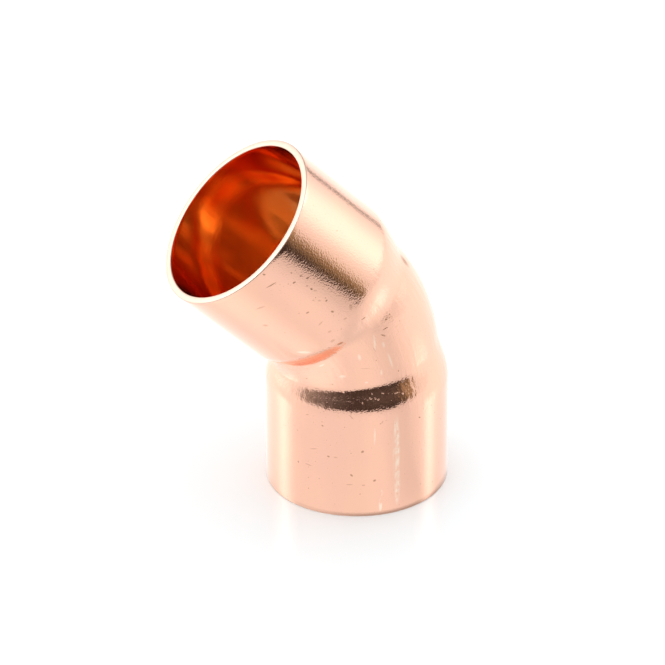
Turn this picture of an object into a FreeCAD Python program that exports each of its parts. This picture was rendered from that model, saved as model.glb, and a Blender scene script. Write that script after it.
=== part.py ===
import FreeCAD, Part
import os
from math import cos, radians, sin

from FreeCAD import Vector

# A one-piece capillary elbow that turns a copper pipe by forty-five degrees, in millimetres.
# The origin is the centre of the lower socket's mouth, which lies in z = 0. The lower socket
# stands along +Z, and the upper one leans towards -X, in the plane y = 0.

# Sockets: the pipe that goes in, its play there, and the straight cup around it
pipe_diameter = 22.0
socket_play = 0.1
socket_depth = 14.3
socket_wall = 0.9
mouth_outer_edge = 0.15
mouth_inner_edge = 0.12

# Bend between the cups. It turns gently at first and most sharply half way, where the inside
# of the bend has the throat's radius.
bend_angle = 45.0
throat_radius = 4.2
bend_wall = 1.0

# Shoulders: the smooth swages that draw the bend in from the cups, and stop the pipe. A bias
# above 1 keeps them fuller beside the cup, and turns them more quickly beside the bend.
shoulder_length = 5.0
shoulder_drop = 1.1
shoulder_bias = 1.2

# Round sections that the bend is lofted through, close enough to keep within 0.02 of the curve
ring_count = 25

# Worked out from the sizes above. A smooth step is one and a half times as steep half way as
# it is on average, so that much longer is the bend than an even one of the same tightness.
bore_radius = (pipe_diameter + socket_play) / 2
cup_radius = bore_radius + socket_wall
tube_radius = cup_radius - shoulder_drop
waterway_radius = tube_radius - bend_wall
bend_length = 1.5 * radians(bend_angle) * (throat_radius + tube_radius)
ring_spacing = bend_length / (ring_count - 1)


def smooth_step(share):
    """Rise from 0 to 1 as share does, level at both ends."""
    share = min(max(share, 0), 1)
    return 3 * share ** 2 - 2 * share ** 3


def direction(share):
    """Give the centre line's direction at a share of the bend's length."""
    turned = radians(bend_angle) * smooth_step(share)
    return Vector(-sin(turned), 0, cos(turned))


def centre_points():
    """Give the centre line's points from one cup to the other, one for each ring."""
    points = [Vector(0, 0, socket_depth)]
    for number in range(ring_count - 1):
        half_way = (number + 0.5) / (ring_count - 1)
        points.append(points[-1] + direction(half_way) * ring_spacing)
    return points


def lofted_bend(at_cup, at_middle):
    """Give the bend as if solid, from one cup to the other, through rings of smoothly changing radius."""
    rings = []
    for number, point in enumerate(centre_points()):
        from_cup = ring_spacing * min(number, ring_count - 1 - number)
        drawn_in = smooth_step((from_cup / shoulder_length) ** shoulder_bias)
        radius = at_cup + (at_middle - at_cup) * drawn_in
        ring = Part.makeCircle(radius, point, direction(number / (ring_count - 1)))
        rings.append(Part.Wire(ring))
    as_solid, ruled = True, True
    return Part.makeLoft(rings, as_solid, ruled)


def filled_elbow(at_cup, at_middle):
    """Give the space inside one surface of the elbow: two cups and the bend between them."""
    lower_cup = Part.makeCylinder(at_cup, socket_depth)
    upper_cup = Part.makeCylinder(at_cup, socket_depth, centre_points()[-1], direction(1))
    return lower_cup.fuse([lofted_bend(at_cup, at_middle), upper_cup])


def mouth_edges(solid, radius):
    """Give the solid's round edges of that radius at its two mouths."""
    mouths = [Vector(0, 0, 0), centre_points()[-1] + direction(1) * socket_depth]
    near = 0.001
    found = []
    for edge in solid.Edges:
        if isinstance(edge.Curve, Part.Circle) and abs(edge.Curve.Radius - radius) < near:
            if min((edge.Curve.Center - mouth).Length for mouth in mouths) < near:
                found.append(edge)
    return found


def elbow():
    """Give the elbow's wall, with the sharp edges of its mouths broken."""
    wall = filled_elbow(cup_radius, tube_radius).cut(filled_elbow(bore_radius, waterway_radius))
    wall = wall.makeChamfer(mouth_outer_edge, mouth_edges(wall, cup_radius))
    return wall.makeChamfer(mouth_inner_edge, mouth_edges(wall, bore_radius))


os.makedirs("parts", exist_ok=True)
body = elbow()
body.exportStep("parts/elbow.step")
print("elbow", body.isValid(), len(body.Solids), "solid", round(body.Volume, 1), "mm3")
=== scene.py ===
import math

import bpy
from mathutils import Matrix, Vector


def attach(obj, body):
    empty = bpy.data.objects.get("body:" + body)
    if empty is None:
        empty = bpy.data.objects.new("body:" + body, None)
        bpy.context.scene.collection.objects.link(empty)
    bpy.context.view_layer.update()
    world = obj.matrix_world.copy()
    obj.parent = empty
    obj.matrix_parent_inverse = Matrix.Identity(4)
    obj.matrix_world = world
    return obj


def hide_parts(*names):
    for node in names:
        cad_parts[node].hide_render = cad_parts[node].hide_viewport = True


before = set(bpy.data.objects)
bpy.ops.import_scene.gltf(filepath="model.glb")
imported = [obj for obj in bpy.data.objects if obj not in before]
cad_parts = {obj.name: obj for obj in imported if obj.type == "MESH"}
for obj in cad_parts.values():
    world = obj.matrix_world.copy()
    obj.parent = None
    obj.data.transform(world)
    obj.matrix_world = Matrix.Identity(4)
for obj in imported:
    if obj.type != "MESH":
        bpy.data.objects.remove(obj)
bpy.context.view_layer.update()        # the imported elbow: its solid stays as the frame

# A copper capillary elbow that turns a pipe by forty-five degrees. It stands on its lower socket,
# whose mouth lies in z = 0, and its upper socket leans towards -X in the plane y = 0.
mm = 0.001
print("frame:", list(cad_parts))


def deselectAll():
    if bpy.context.object and bpy.context.object.mode != 'OBJECT':
        bpy.ops.object.mode_set(mode='OBJECT')
    bpy.ops.object.select_all(action='DESELECT')


def smoothStep(share):
    share = min(max(share, 0), 1)
    return 3 * share ** 2 - 2 * share ** 3


# The elbow's own shape
elbow = {
    "pipe": 22.0 * mm,            # outside diameter of the pipe that goes in
    "play": 0.1 * mm,             # room for the solder, on the diameter
    "socketDepth": 14.3 * mm,     # straight part of each socket
    "wall": 0.9 * mm,             # wall of the sockets
    "bendWall": 1.0 * mm,         # wall of the bend
    "bendAngle": math.radians(45),
    "throatRadius": 4.2 * mm,     # inside of the bend, half way
    "shoulderLength": 5.0 * mm,   # where the tube swells to the socket
    "shoulderDrop": 1.1 * mm,
    "shoulderBias": 1.2,          # over 1 draws in later, nearer the bend
    "outerEdge": 0.15 * mm,       # rounding of the cut ends, outside
    "innerEdge": 0.12 * mm,       # and inside
    "strainReach": 2 * mm,        # the skin changes over this length where socket and shoulder meet
    "sides": 180,
    "socketRings": 24,
    "bendRings": 64,
    "edgeRings": 4,
}


def direction(angle):
    return Vector((-math.sin(angle), 0, math.cos(angle)))


def centreLine():
    # points, angles and lengths along the bend: it turns gently at first, most sharply half way
    count = elbow["bendRings"]
    step = bendLength / count
    points = [(Vector((0, 0, elbow["socketDepth"])), 0.0, elbow["socketDepth"])]
    for i in range(count):
        half = elbow["bendAngle"] * smoothStep((i + 0.5) / count)
        point = points[-1][0] + direction(half) * step
        points.append((point, elbow["bendAngle"] * smoothStep((i + 1) / count), points[-1][2] + step))
    return points


def wallRings(atSocket, atMiddle, edge):
    # rings of one wall from the lower mouth to the upper: centre, angle, radius, length along
    count, depth = elbow["socketRings"], elbow["socketDepth"]
    rings = []
    for i in range(count):
        up = edge + (depth - edge) * i / count
        rings.append((Vector((0, 0, up)), 0.0, atSocket, up))
    for i, (point, angle, along) in enumerate(line):
        fromSocket = bendLength * min(i, elbow["bendRings"] - i) / elbow["bendRings"]
        drawn = smoothStep((fromSocket / elbow["shoulderLength"]) ** elbow["shoulderBias"])
        rings.append((point, angle, atSocket + (atMiddle - atSocket) * drawn, along))
    top, angle, along = line[-1]
    for i in range(1, count + 1):
        up = (depth - edge) * i / count
        rings.append((top + direction(angle) * up, angle, atSocket, along + up))
    return rings


def rimRings(mouth, angle, along, away):
    # over a cut end from outside to inside: a quarter round, the flat cut, a quarter round
    outer, inner, count = elbow["outerEdge"], elbow["innerEdge"], elbow["edgeRings"]
    rings = []
    for i in range(1, count + 1):
        turn = math.pi / 2 * i / count
        back = outer * (1 - math.sin(turn))
        rings.append((mouth - direction(angle) * away * back, angle,
                      cup - outer * (1 - math.cos(turn)), along - away * back))
    for i in range(count):
        turn = math.pi / 2 * i / count
        back = inner * (1 - math.cos(turn))
        rings.append((mouth - direction(angle) * away * back, angle,
                      bore + inner * (1 - math.sin(turn)), along - away * back))
    return rings


bore = (elbow["pipe"] + elbow["play"]) / 2
cup = bore + elbow["wall"]
tube = cup - elbow["shoulderDrop"]
waterway = tube - elbow["bendWall"]
steepest = 1.5                # a smooth step's slope half way
bendLength = steepest * elbow["bendAngle"] * (elbow["throatRadius"] + tube)
line = centreLine()
fullLength = line[-1][2] + elbow["socketDepth"]
upperMouth = line[-1][0] + direction(elbow["bendAngle"]) * elbow["socketDepth"]

outside = wallRings(cup, tube, elbow["outerEdge"])
upperRim = rimRings(upperMouth, elbow["bendAngle"], fullLength, 1)
inside = wallRings(bore, waterway, elbow["innerEdge"])[::-1]
lowerRim = rimRings(Vector((0, 0, 0)), 0.0, 0.0, -1)[::-1]
route = outside + upperRim + inside + lowerRim

# One ring is drawn out along the route: up the outside, over the upper rim, down the bore and over
# the lower rim. Each step moves, turns and scales it, where it has to.
least = 1e-9
deselectAll()
centre, angle, radius, along = route[0]
bpy.ops.mesh.primitive_circle_add(vertices=elbow["sides"], radius=radius, fill_type='NOTHING',
                                  location=centre)
body = bpy.context.object
body.name = "elbow_body"
bpy.ops.object.transform_apply(location=True, rotation=True, scale=True)
bpy.ops.object.mode_set(mode='EDIT')
bpy.ops.mesh.select_all(action='SELECT')
for nextCentre, nextAngle, nextRadius, along in route[1:]:
    bpy.ops.mesh.extrude_region()
    if (nextCentre - centre).length > least:
        bpy.ops.transform.translate(value=nextCentre - centre)
    if abs(nextAngle - angle) > least:
        bpy.ops.transform.rotate(value=nextAngle - angle, orient_axis='Y', orient_type='GLOBAL',
                                 center_override=nextCentre)
    if abs(nextRadius / radius - 1) > least:
        bpy.ops.transform.resize(value=(nextRadius / radius,) * 3, center_override=nextCentre)
    centre, angle, radius = nextCentre, nextAngle, nextRadius
bpy.ops.mesh.select_mode(type='EDGE')
bpy.ops.mesh.select_all(action='DESELECT')
bpy.ops.mesh.select_non_manifold()
bpy.ops.mesh.bridge_edge_loops()             # the first ring meets the last
bpy.ops.mesh.select_mode(type='FACE')
bpy.ops.mesh.select_all(action='SELECT')
bpy.ops.mesh.normals_make_consistent(inside=False)
bpy.ops.mesh.select_all(action='DESELECT')
bpy.ops.object.mode_set(mode='OBJECT')
print("elbow drawn:", len(route), "rings,", len(body.data.polygons), "faces")

# Each point remembers where it would lie if the elbow were straight, so that marks follow the bend,
# and how much the metal was pressed there: not in the sockets, fully from the shoulders on
mesh = body.data
sides = elbow["sides"]
places, strains = [], []
for point in mesh.vertices:
    centre, angle, radius, along = route[point.index // sides]
    away = point.co - centre
    across = away.dot(Vector((math.cos(angle), 0, math.sin(angle))))
    places += [across, away.y, along]
    fromSocket = min(along, fullLength - along) - elbow["socketDepth"]
    strains.append(smoothStep(fromSocket / elbow["strainReach"] + 0.5))
mesh.attributes.new("unbent", 'FLOAT_VECTOR', 'POINT').data.foreach_set("vector", places)
mesh.attributes.new("strain", 'FLOAT', 'POINT').data.foreach_set("value", strains)

# Outside, bore and cut ends get a finish each: faces are told apart by the rings they lie between
outsideFinish, boreFinish, cutFinish = range(3)
boreStart = len(outside) + len(upperRim)
boreEnd = boreStart + len(inside) - 1
lastRing = len(route) - 1
for face in mesh.polygons:
    rings = sorted({corner // sides for corner in face.vertices})
    first = lastRing if rings == [0, lastRing] else rings[0]
    if first < len(outside) - 1:
        face.material_index = outsideFinish
    elif boreStart <= first < boreEnd:
        face.material_index = boreFinish
    else:
        face.material_index = cutFinish

# Faint unevenness of a pressed fitting, in the shape itself: long waves all over, short ones in the bend
unevenness = [
    {"name": "waves", "size": 8 * mm, "height": 0.05 * mm, "where": ""},
    {"name": "ripples", "size": 3 * mm, "height": 0.05 * mm, "where": "pressed"},
]
pressed = body.vertex_groups.new(name="pressed")
for point, amount in zip(mesh.vertices, strains):
    pressed.add([point.index], amount, 'REPLACE')
deselectAll()
body.select_set(True)
bpy.context.view_layer.objects.active = body
for layer in unevenness:
    texture = bpy.data.textures.new(layer["name"], 'CLOUDS')
    texture.noise_scale = layer["size"]
    texture.noise_depth = 1
    wobble = body.modifiers.new(layer["name"], 'DISPLACE')
    wobble.texture = texture
    wobble.texture_coords = 'LOCAL'
    wobble.mid_level = 0.5
    wobble.strength = layer["height"]
    wobble.vertex_group = layer["where"]
    bpy.ops.object.modifier_apply(modifier=layer["name"])
bpy.ops.object.shade_smooth()
print("elbow shaped:", [round(v / mm, 2) for v in body.dimensions], "mm")


# Copper: first what all of it shares
copper = {
    "cloudSize": 6 * mm,                    # soft changes from the light tint to the deep one
    "cloudEdges": (0.35, 0.65),
    "lines": (0.30 * mm, 0.004 * mm),       # marks of drawing, along the tube: size and height
    "lineStretch": 0.04,
    "grain": (0.22 * mm, 0.016 * mm),       # the fine pickled grain
    "peel": (0.7 * mm, 0.030 * mm),         # rougher skin where the metal was pressed
    "creases": (0.7 * mm, 0.040 * mm),      # along the tube too, where it was pressed
    "creaseStretch": 0.12,
    "dent": 0.02 * mm,                      # how deep specks lie
    "nick": 0.022 * mm,                     # how far nicks stand out
    "speck": (0.34, 0.19, 0.10),
    # bare metal of the scratches, and also the colour of the painted highlights
    "scratch": (1.0, 0.82, 0.66),
    "speckSpacing": 1.7 * mm,               # of the strewn specks
    "speckSize": 0.12 * mm,
    "pitGrain": (0.70, 0.78),               # how deep in the grain a pit starts, and is full
    "pitClouds": (0.42, 0.6),               # and in the clouds
    "markEdge": 0.45,                       # how softly a mark fades at its edge
    "tornLines": (0.35, 0.55),              # where a scratch shows: in the drawing marks
    "tornPeel": (0.35, 0.6),                # and in the peel
    "strength": {"strewn": 0.5, "pit": 0.45, "speck": 0.7, "faint": 0.3, "paintedHighlight": 0.6},
    "haze": (0.8, 1.35),                    # the roughness varies between these shares along the lines
    "dullSpecks": 0.3,                      # how much rougher a full speck is
}

# Marks that this one carries, by kind, each as: degrees round from the inside of the bend,
# millimetres along, length, width, lean in degrees
marks = {
    "speck": [
        (-101.5, 43.8, 1.75, 0.20, 75), (-98.9, 45.7, 0.50, 0.24, 30), (-91.7, 41.6, 0.50, 0.26, 63),
        (-86.2, 41.5, 0.42, 0.24, 32), (-84.7, 40.5, 0.53, 0.26, 54), (-88.5, 39.0, 0.44, 0.30, 13),
        (-88.8, 36.1, 0.38, 0.26, 76), (-91.9, 34.3, 0.55, 0.30, 22), (-101.7, 36.9, 0.56, 0.28, 70),
        (-83.9, 29.7, 1.00, 0.24, 65), (-105.8, 29.3, 1.10, 0.60, 57), (-24.5, 27.1, 2.00, 1.50, 0),
        (-77.7, 25.9, 1.10, 0.18, 74), (-81.6, 25.4, 1.15, 0.28, 33), (-81.5, 19.9, 0.40, 0.30, -12),
        (-128.2, 20.3, 0.40, 0.30, 90), (-147.1, 21.6, 0.46, 0.40, 85), (-134.7, 13.1, 0.39, 0.28, 78),
        (-70.7, 13.0, 0.50, 0.26, 69), (-109.6, 9.7, 0.50, 0.40, -61), (-130.9, 8.7, 0.45, 0.30, 75),
        (-152.2, 6.7, 0.35, 0.30, 13), (-116.4, 6.2, 0.54, 0.32, 48), (-102.1, 5.3, 0.50, 0.35, -60),
    ],
    "faint": [
        (-88.0, 42.9, 0.37, 0.25, 5), (-117.9, 42.0, 1.44, 0.34, 74), (-88.5, 39.8, 0.44, 0.25, 13),
        (-126.8, 39.0, 0.88, 0.50, 45), (-88.0, 38.4, 0.56, 0.27, 33), (-93.5, 37.6, 0.41, 0.28, 34),
        (-91.4, 36.9, 0.55, 0.27, 34), (-102.3, 34.3, 0.92, 0.30, -86), (-83.0, 32.6, 0.99, 0.54, -36),
        (-103.0, 32.4, 0.63, 0.40, 77), (-90.6, 32.1, 0.64, 0.30, 62), (-106.7, 30.9, 0.83, 0.60, 79),
        (-66.1, 25.1, 0.34, 0.30, -45), (-92.0, 24.5, 1.30, 0.20, 3), (-103.1, 22.3, 1.90, 0.20, 61),
        (-140.6, 18.9, 1.13, 0.35, 86), (-116.4, 14.8, 1.05, 0.19, 39), (-145.1, 14.2, 0.64, 0.27, -73),
        (-97.2, 13.8, 0.54, 0.28, -26), (-140.9, 9.4, 1.36, 0.22, -75), (-126.4, 8.7, 0.66, 0.30, -89),
        (-144.6, 6.8, 1.28, 0.25, 85), (-117.7, 4.8, 1.04, 0.24, -87), (-109.0, 4.7, 0.52, 0.30, 88),
    ],
    "scratch": [
        (-87.9, 9.6, 10.5, 1.25, 0), (-87.2, 4.5, 7.5, 1.00, 0), (-102.2, 11.9, 3.0, 0.33, 0),
        (-98.3, 1.6, 2.4, 0.55, 0), (-97.7, 3.4, 1.2, 0.40, 0),
    ],
    # these light spots are painted highlights, where light glints on small dents
    "paintedHighlight": [
        (-125.6, 31.9, 2.2, 0.60, 50), (-103.3, 24.7, 1.7, 0.65, -11), (-119.7, 22.0, 1.2, 1.20, 44),
        (-89.3, 25.4, 3.2, 0.45, -26), (-85.2, 21.8, 3.2, 0.45, 0), (-85.0, 24.3, 1.2, 0.50, -13),
        (-129.4, 26.2, 1.5, 0.60, -69), (-93.6, 20.7, 1.3, 0.40, -12), (-105.1, 19.8, 0.7, 0.50, 73),
    ],
    "nick": [
        (-104.0, 17.3, 0.52, 0.20, 46), (-102.6, 17.9, 0.30, 0.16, 20), (-100.8, 17.2, 0.39, 0.20, 35),
        (-98.9, 17.0, 0.37, 0.21, -72), (-109.3, 16.8, 0.30, 0.20, 20), (-95.5, 17.7, 0.45, 0.14, 62),
        (-86.4, 17.3, 0.60, 0.14, -85), (-82.0, 17.0, 0.40, 0.18, 55), (-121.4, 18.5, 0.45, 0.20, 81),
    ],
}

# The finishes, in the order of the faces' numbers; grain and specks are shares of the outside's
finishes = [
    {"name": "copper_pickled", "light": (0.97, 0.575, 0.42), "deep": (0.95, 0.555, 0.42),
     "roughness": 0.075, "grain": 1.0, "specks": 1.0, "marks": marks},
    # the bore is the same copper; its deeper orange tint is painted light, for the warmer glow of bounces
    # between its walls
    {"name": "copper_bore", "light": (0.97, 0.56, 0.25), "deep": (0.95, 0.50, 0.19),
     "roughness": 0.08, "grain": 0.4, "specks": 0.5, "marks": {}},
    {"name": "copper_cut_end", "light": (0.80, 0.555, 0.445), "deep": (0.80, 0.555, 0.445),
     "roughness": 0.35, "grain": 0.6, "specks": 0.0, "marks": {}},
]


class Wiring:
    # nodes of a material or a world, added from left to right
    def __init__(self, tree):
        self.nodes, self.links = tree.nodes, tree.links
        self.place = -2000

    def add(self, kind, wires=(), values=(), **settings):
        made = self.nodes.new("ShaderNode" + kind)
        made.location = (self.place, 0)
        self.place += 40
        for key, value in settings.items():
            setattr(made, key, value)
        for key, value in dict(values).items():
            made.inputs[key].default_value = value
        for key, value in dict(wires).items():
            self.links.new(value, made.inputs[key])
        return made

    def noise(self, coords, size, stretch=(1, 1, 1), detail=2.0):
        scaled = self.add("Mapping", {"Vector": coords}, {"Scale": [v / size for v in stretch]})
        values = {"Scale": 1.0, "Detail": detail, "Roughness": 0.55}
        return self.add("TexNoise", {"Vector": scaled.outputs[0]}, values).outputs["Fac"]

    def span(self, value, low, high, toLow=0.0, toHigh=1.0):
        values = {"From Min": low, "From Max": high, "To Min": toLow, "To Max": toHigh}
        return self.add("MapRange", {"Value": value}, values).outputs["Result"]

    def maths(self, operation, a, b):
        made = self.add("Math", operation=operation)
        for socket, value in zip(made.inputs, (a, b)):
            if isinstance(value, (int, float)):
                socket.default_value = value
            else:
                self.links.new(value, socket)
        return made.outputs[0]

    def blend(self, factor, a, b):
        made = self.add("Mix", {"Factor": factor}, data_type='RGBA')
        for socket, value in ((made.inputs["A"], a), (made.inputs["B"], b)):
            if isinstance(value, tuple):
                socket.default_value = (*value, 1)
            else:
                self.links.new(value, socket)
        return made.outputs["Result"]

    def bump(self, height, distance, before=None, strength=None):
        made = self.add("Bump", {"Height": height}, {"Distance": distance, "Strength": 1.0})
        if before is not None:
            self.links.new(before, made.inputs["Normal"])
        if strength is not None:
            self.links.new(strength, made.inputs["Strength"])
        return made.outputs["Normal"]


def newMaterial(name):
    material = bpy.data.materials.new(name)
    material.use_nodes = True
    return material, Wiring(material.node_tree)


def markMask(wiring, coords, mark):
    # a soft oval on the surface
    turn, along, long, wide, lean = mark
    turn = math.radians(turn)
    place = (cup * math.cos(turn), cup * math.sin(turn), along * mm)
    reach = (2 * elbow["shoulderDrop"], wide / 2 * mm, long / 2 * mm)       # deep enough for the bend too
    settled = wiring.add("Mapping", {"Vector": coords}, {"Location": place, "Scale": reach,
                         "Rotation": (math.radians(lean), 0, turn)}, vector_type='TEXTURE')
    oval = wiring.add("TexGradient", {"Vector": settled.outputs[0]}, gradient_type='SPHERICAL')
    return wiring.span(oval.outputs["Fac"], 0.0, copper["markEdge"])


def markMasks(wiring, coords, kinds):
    # one mask for each kind of mark
    masks = {}
    for kind, rows in kinds.items():
        for mark in rows:
            mask = markMask(wiring, coords, mark)
            masks[kind] = wiring.maths('MAXIMUM', masks[kind], mask) if kind in masks else mask
    return masks


def copperMaterial(finish):
    material, wiring = newMaterial(finish["name"])
    shader = wiring.nodes["Principled BSDF"]
    shader.inputs["Metallic"].default_value = 1.0
    coords = wiring.add("Attribute", attribute_name="unbent").outputs["Vector"]
    strained = wiring.add("Attribute", attribute_name="strain").outputs["Fac"]
    grain, specks, strength = finish["grain"], finish["specks"], copper["strength"]

    clouds = wiring.noise(coords, copper["cloudSize"], (1, 1, 0.6), 3.0)
    colour = wiring.blend(wiring.span(clouds, *copper["cloudEdges"]), finish["light"], finish["deep"])
    streaks = wiring.noise(coords, copper["lines"][0], (1, 1, copper["lineStretch"]), 3.0)
    fine = wiring.noise(coords, copper["grain"][0], (1, 1, 1), 1.0)
    rough = wiring.noise(coords, copper["peel"][0], (1, 1, 0.6))
    creases = wiring.noise(coords, copper["creases"][0], (1, 1, copper["creaseStretch"]))
    normal = wiring.bump(streaks, copper["lines"][1])
    normal = wiring.bump(fine, copper["grain"][1] * grain, normal)
    normal = wiring.bump(rough, copper["peel"][1] * grain, normal, strained)
    normal = wiring.bump(creases, copper["creases"][1] * grain, normal, strained)

    # dark specks, strewn, and pits in the grain
    cells = wiring.add("Mapping", {"Vector": coords}, {"Scale": [1 / copper["speckSpacing"]] * 3})
    voronoi = wiring.add("TexVoronoi", {"Vector": cells.outputs[0]}, {"Scale": 1.0})
    reach = copper["speckSize"] / copper["speckSpacing"]
    dark = wiring.span(voronoi.outputs["Distance"], reach, reach * 0.3, 0.0, strength["strewn"] * specks)
    pits = wiring.span(fine, *copper["pitGrain"], 0.0, strength["pit"] * specks)
    pits = wiring.maths('MULTIPLY', pits, wiring.span(clouds, *copper["pitClouds"]))
    dark = wiring.maths('MAXIMUM', dark, pits)

    # the marks that this one carries; scratches are torn along the tube
    masks = markMasks(wiring, coords, finish["marks"])
    if masks:
        for kind in ("speck", "faint"):
            dark = wiring.maths('MAXIMUM', dark, wiring.maths('MULTIPLY', masks[kind], strength[kind]))
        torn = wiring.maths('MULTIPLY', masks["scratch"], wiring.span(streaks, *copper["tornLines"]))
        torn = wiring.maths('MULTIPLY', torn, wiring.span(rough, *copper["tornPeel"]))
        # scratches show bare metal; the other light spots are painted highlights
        pale = wiring.maths('MAXIMUM', torn, wiring.maths('MULTIPLY', masks["paintedHighlight"], strength["paintedHighlight"]))
        colour = wiring.blend(pale, colour, copper["scratch"])
        normal = wiring.bump(masks["nick"], copper["nick"], normal)
    colour = wiring.blend(dark, colour, copper["speck"])
    wiring.links.new(colour, shader.inputs["Base Color"])
    normal = wiring.bump(wiring.maths('MULTIPLY', dark, -1.0), copper["dent"], normal)
    wiring.links.new(normal, shader.inputs["Normal"])
    haze = wiring.span(streaks, 0.3, 0.7, *[finish["roughness"] * share for share in copper["haze"]])
    haze = wiring.maths('ADD', haze, wiring.maths('MULTIPLY', dark, copper["dullSpecks"]))
    wiring.links.new(haze, shader.inputs["Roughness"])
    return material


for finish in finishes:
    mesh.materials.append(copperMaterial(finish))

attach(body, "root")
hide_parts("elbow")
print("copper finishes:", [material.name for material in mesh.materials])


# Floor, studio and camera. The polished copper mirrors a dark room in front, beyond the table's edge,
# and bright lamps to the right and to the left behind. The levels go from below the horizon upwards.
# Each one holds from one sine of height to another and blends into the next. Its stops are degrees
# round from the front towards +X, and brightness or colour.
studio = {
    "light": 1.3,
    "floor": (0.86, 0.915, 0.935),
    "floorRoughness": 0.2,
    "floorShine": 0.3,
    "levels": [
        (-1.0, -0.12, [
            (-90, 0.85), (-68, 0.82), (-62, 0.3), (-56, (0.11, 0.10, 0.09)), (-30, (0.058, 0.043, 0.038)),
            (0, (0.060, 0.046, 0.040)), (36, (0.046, 0.035, 0.030)), (39, (0.08, 0.063, 0.048)),
            (43, (0.22, 0.172, 0.10)), (48, (0.34, 0.27, 0.155)), (50.5, 0.8), (52, 0.95), (270, 0.85)]),
        (-0.02, 0.0, [
            (-90, 0.85), (-80, 0.72), (-68, 0.60), (-61, (0.24, 0.22, 0.20)), (-54, (0.11, 0.095, 0.085)),
            (-30, (0.065, 0.050, 0.043)), (27, (0.070, 0.054, 0.046)), (32, (0.11, 0.085, 0.062)),
            (35.5, (0.28, 0.22, 0.125)), (43, (0.34, 0.27, 0.155)), (48, (0.40, 0.32, 0.19)),
            (50.5, (0.80, 0.72, 0.60)), (53, 0.93), (66, 1.03), (75, 1.28), (92, 1.28), (105, 1.14),
            (119.5, 1.0), (121.5, 0.30), (124, 0.28), (125.8, 1.0), (135, 1.28), (150, 1.4), (200, 1.33),
            (215, 1.5), (228, 1.48), (240, 1.33), (255, 1.1), (262, 0.97), (270, 0.85)]),
        (0.13, 0.15, [
            (-90, (0.68, 0.63, 0.58)), (-82, (0.30, 0.28, 0.26)), (-74, (0.23, 0.21, 0.20)),
            (-55, (0.12, 0.108, 0.10)), (-30, (0.058, 0.043, 0.038)), (5, (0.10, 0.085, 0.075)),
            (25, (0.12, 0.10, 0.08)), (36, (0.36, 0.27, 0.17)), (43, (0.56, 0.46, 0.30)),
            (48, (0.90, 0.82, 0.68)), (56, 1.12), (63, 1.32), (71, 1.55), (80, 1.70), (92, 1.66),
            (100, 1.5), (110, 1.25), (119.5, 1.15), (121.5, 0.30), (124, 0.28), (125.8, 1.0), (140, 1.2),
            (180, 1.35), (208, 1.5), (220, 1.7), (230, 1.5), (242, 1.25), (254, 1.08), (263, 0.95),
            (270, (0.68, 0.63, 0.58))]),
        (0.22, 0.30, [
            (-90, (0.33, 0.31, 0.28)), (-78, (0.23, 0.21, 0.20)), (-55, (0.12, 0.108, 0.10)),
            (-30, (0.058, 0.043, 0.038)), (5, (0.10, 0.085, 0.075)), (25, (0.12, 0.10, 0.08)),
            (36, (0.36, 0.27, 0.17)), (46, 0.85), (56, 1.12), (63, 1.32), (71, 1.60), (80, 1.75),
            (92, 1.66), (100, 1.5), (110, 1.25), (122, 1.1), (140, 1.2), (180, 1.35), (208, 1.5),
            (220, 1.7), (230, 1.5), (242, 1.25), (250, 1.08), (258, 0.85), (265, 0.45),
            (270, (0.33, 0.31, 0.28))]),
        (0.42, 0.60, [
            (-90, 0.6), (40, 0.6), (60, 0.8), (68, 1.6), (75, 4.5), (81, 7.0), (87, 4.6), (97, 1.4),
            (108, 0.6), (180, 0.7), (204, 1.0), (214, 1.8), (223, 4.4), (231, 7.0), (239, 4.6),
            (249, 1.4), (258, 0.7), (270, 0.6)]),
        (0.75, 1.0, [(-90, 0.8), (60, 0.55), (180, 0.6), (270, 0.8)]),
    ],
    # shines down the upper socket; its edge is cosines of the angle away from its middle
    "lamp": {"towards": (-0.453, -0.122, 0.883), "edge": (0.86, 0.97), "light": 3.2},
}

# The lit table, as the copper mirrors it; its light has stops round the elbow too
table = {
    "light": [
        (-90, 0.97), (-60, 0.94), (-20, 0.93), (-10, 0.96), (2, 0.96), (11, 0.90), (22, 0.84), (31, 0.82),
        (40, 0.90), (60, 1.02), (85, 1.06), (105, 1.12), (130, 1.25), (180, 1.3), (225, 1.17), (240, 1.12),
        (255, 1.06), (270, 0.97)],
    "below": 0.02 * mm,                    # it lies this far under the floor
    "spread": 150,                         # and reaches out to this many times the cup's radius
    "edge": (-130 * mm, 0.1),              # where its edge crosses the middle, and its slant
    "dims": (-60 * mm, 0.76),              # from here on, down to this share at its edge
    # painted contact shadow: the glow darkens close round the elbow
    "foot": (1.0 * mm, 0.72, 0.12),        # this close to the elbow it loses as much, in front and beside
    "gloss": (0.09, 0.10),                 # how much it mirrors, and how softly
    "pool": (-2 * mm, -4.5 * mm, 0.29),    # light that falls through the elbow: from, to, how bright
    "poolColour": (1.0, 0.64, 0.42),
}


def grey(value):
    return value if isinstance(value, tuple) else (value, value, value)


def ramp(wiring, coords, stops):
    # colours by degrees round, over a whole turn that starts on the left
    around = wiring.add("TexGradient", {"Vector": coords}, gradient_type='RADIAL')
    made = wiring.add("ValToRGB", {"Fac": around.outputs["Fac"]})
    elements = made.color_ramp.elements
    while len(elements) > 1:
        elements.remove(elements[-1])
    for i, (degrees, colour) in enumerate(stops):
        place = min(max((degrees + 90) / 360, 0), 1)
        stop = elements[0] if i == 0 else elements.new(place)
        stop.position = place
        stop.color = (*grey(colour), 1)
    return made.outputs["Color"]


def floorMaterial():
    material, wiring = newMaterial("white_table")
    shader = wiring.nodes["Principled BSDF"]
    shader.inputs["Base Color"].default_value = (*studio["floor"], 1)
    shader.inputs["Roughness"].default_value = studio["floorRoughness"]
    shader.inputs["Specular IOR Level"].default_value = studio["floorShine"]
    return material


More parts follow.
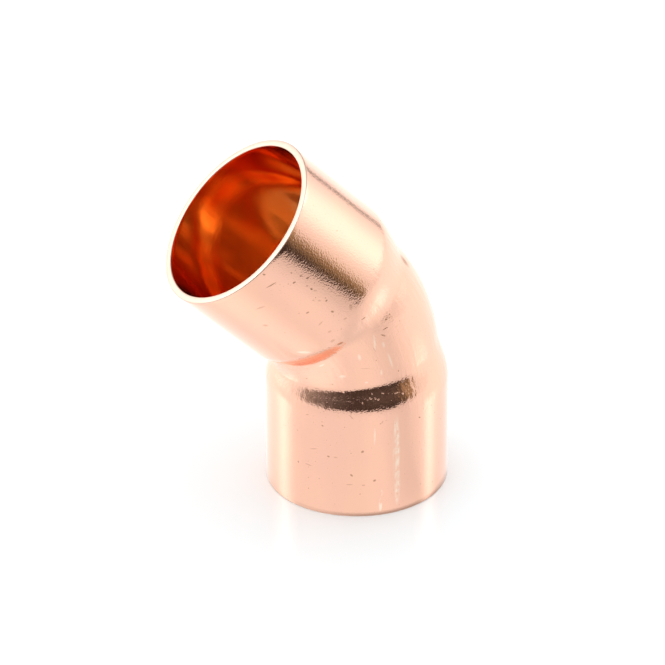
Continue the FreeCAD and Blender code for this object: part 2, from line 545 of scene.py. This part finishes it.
def tableMaterial():
    # a white sheet that shines by itself, by direction from the elbow, and mirrors the lamps a little;
    # close round the elbow its glow is darkened, a painted contact shadow
    material, wiring = newMaterial("table_light")
    wiring.nodes.remove(wiring.nodes["Principled BSDF"])
    place = wiring.add("TexCoord").outputs["Object"]
    front = wiring.add("SeparateXYZ", {"Vector": place}).outputs["Y"]
    dimmed = wiring.span(front, table["dims"][0], table["edge"][0], 1.0, table["dims"][1])
    away = wiring.add("VectorMath", {0: place}, operation='LENGTH').outputs["Value"]
    reach, inFront, beside = table["foot"]
    near = wiring.span(away, cup, cup + reach, 1.0, 0.0)
    foot = wiring.maths('MULTIPLY', near, wiring.span(front, -cup, -0.3 * cup, inFront, beside))
    dimmed = wiring.maths('MULTIPLY', dimmed, wiring.maths('SUBTRACT', 1.0, foot))
    glow = wiring.add("Emission", {"Color": ramp(wiring, place, table["light"]), "Strength": dimmed})
    share, softness = table["gloss"]
    mirror = wiring.add("BsdfGlossy", {}, {"Color": (*grey(share), 1), "Roughness": softness})
    surface = wiring.add("AddShader", {0: glow.outputs[0], 1: mirror.outputs[0]})
    wiring.links.new(surface.outputs[0], wiring.nodes["Material Output"].inputs["Surface"])
    return material


def poolMaterial():
    # the table inside the lower socket, with a painted pool of light in front, where light falls through
    # the elbow
    material, wiring = newMaterial("table_pool")
    place = wiring.add("TexCoord").outputs["Object"]
    front = wiring.add("SeparateXYZ", {"Vector": place}).outputs["Y"]
    start, end, light = table["pool"]
    shader = wiring.nodes["Principled BSDF"]
    shader.inputs["Base Color"].default_value = (*studio["floor"], 1)
    shader.inputs["Emission Color"].default_value = (*table["poolColour"], 1)
    wiring.links.new(wiring.span(front, start, end, 0.0, light), shader.inputs["Emission Strength"])
    return material


# The floor, as it is seen; the copper mirrors the sheet below instead
deselectAll()
bpy.ops.mesh.primitive_plane_add(size=4, location=(0, 0, 0))
floor = bpy.context.object
floor.name = "floor"
floor.data.materials.append(floorMaterial())
floor.visible_glossy = floor.visible_diffuse = floor.visible_shadow = False

# The sheet: a disc under the lower socket, then all round it, cut off at the table's edge
edgeMiddle, edgeSlant = table["edge"]
deselectAll()
bpy.ops.mesh.primitive_circle_add(vertices=96, radius=cup, fill_type='NGON',
                                  location=(0, 0, -table["below"]))
sheet = bpy.context.object
sheet.name = "table_mirrored"
bpy.ops.object.transform_apply(location=True, rotation=True, scale=True)
bpy.ops.object.mode_set(mode='EDIT')
bpy.ops.mesh.select_mode(type='FACE')
bpy.ops.mesh.select_all(action='SELECT')
bpy.ops.mesh.inset(thickness=0.05 * mm)
bpy.ops.mesh.select_mode(type='EDGE')
bpy.ops.mesh.select_all(action='DESELECT')
bpy.ops.mesh.select_non_manifold()
bpy.ops.mesh.extrude_region()
bpy.ops.transform.resize(value=(table["spread"], table["spread"], 1), center_override=(0, 0, 0))
bpy.ops.mesh.select_all(action='SELECT')
bpy.ops.mesh.bisect(plane_co=(0, edgeMiddle, 0), plane_no=(-edgeSlant, 1, 0), clear_inner=True)
bpy.ops.object.mode_set(mode='OBJECT')
sheet.data.materials.append(tableMaterial())
sheet.data.materials.append(poolMaterial())
for face in sheet.data.polygons:
    face.material_index = 1 if face.center.length < 1.1 * cup else 0
sheet.visible_camera = sheet.visible_shadow = sheet.visible_diffuse = False

# Soft light from all sides; mirrored, it is brighter where the lamps are
world = bpy.data.worlds.new("studio")
world.use_nodes = True
wiring = Wiring(world.node_tree)
soft = wiring.nodes["Background"]
soft.inputs["Color"].default_value = (1, 1, 1, 1)
soft.inputs["Strength"].default_value = studio["light"]
towards = wiring.add("TexCoord").outputs["Generated"]
height = wiring.add("SeparateXYZ", {"Vector": towards}).outputs["Z"]
around, reached = None, None
for start, end, stops in studio["levels"]:
    level = ramp(wiring, towards, stops)
    around = level if around is None else wiring.blend(wiring.span(height, reached, start), around, level)
    reached = end
lamp = studio["lamp"]
lampMiddle = Vector(lamp["towards"]).normalized()
aligned = wiring.add("VectorMath", {0: towards}, {1: lampMiddle}, operation='DOT_PRODUCT')
lit = wiring.span(aligned.outputs["Value"], *lamp["edge"])
around = wiring.blend(lit, around, grey(lamp["light"]))
mirrored = wiring.add("Background", {"Color": around})
rays = wiring.add("LightPath")
choices = {"Fac": rays.outputs["Is Glossy Ray"], 1: soft.outputs[0], 2: mirrored.outputs[0]}
choose = wiring.add("MixShader", choices)
wiring.links.new(choose.outputs["Shader"], wiring.nodes["World Output"].inputs["Surface"])
scene = bpy.context.scene
scene.world = world
scene.view_settings.view_transform = "Standard"
scene.cycles.glossy_bounces = 12               # light goes a long way in the bore

view = {
    "place": (-0.180555, -0.420786, 0.269000),
    "turn": (61.52539, 0.16503, -22.92126),      # degrees
    "lens": 217.5264,
    "sensor": 36,
    "near": 0.01,
    "far": 10,
}
deselectAll()
bpy.ops.object.camera_add(location=view["place"], rotation=[math.radians(v) for v in view["turn"]])
camera = bpy.context.object
camera.data.lens = view["lens"]
camera.data.sensor_width = view["sensor"]
camera.data.clip_start = view["near"]
camera.data.clip_end = view["far"]
scene.camera = camera
print("studio and camera set")
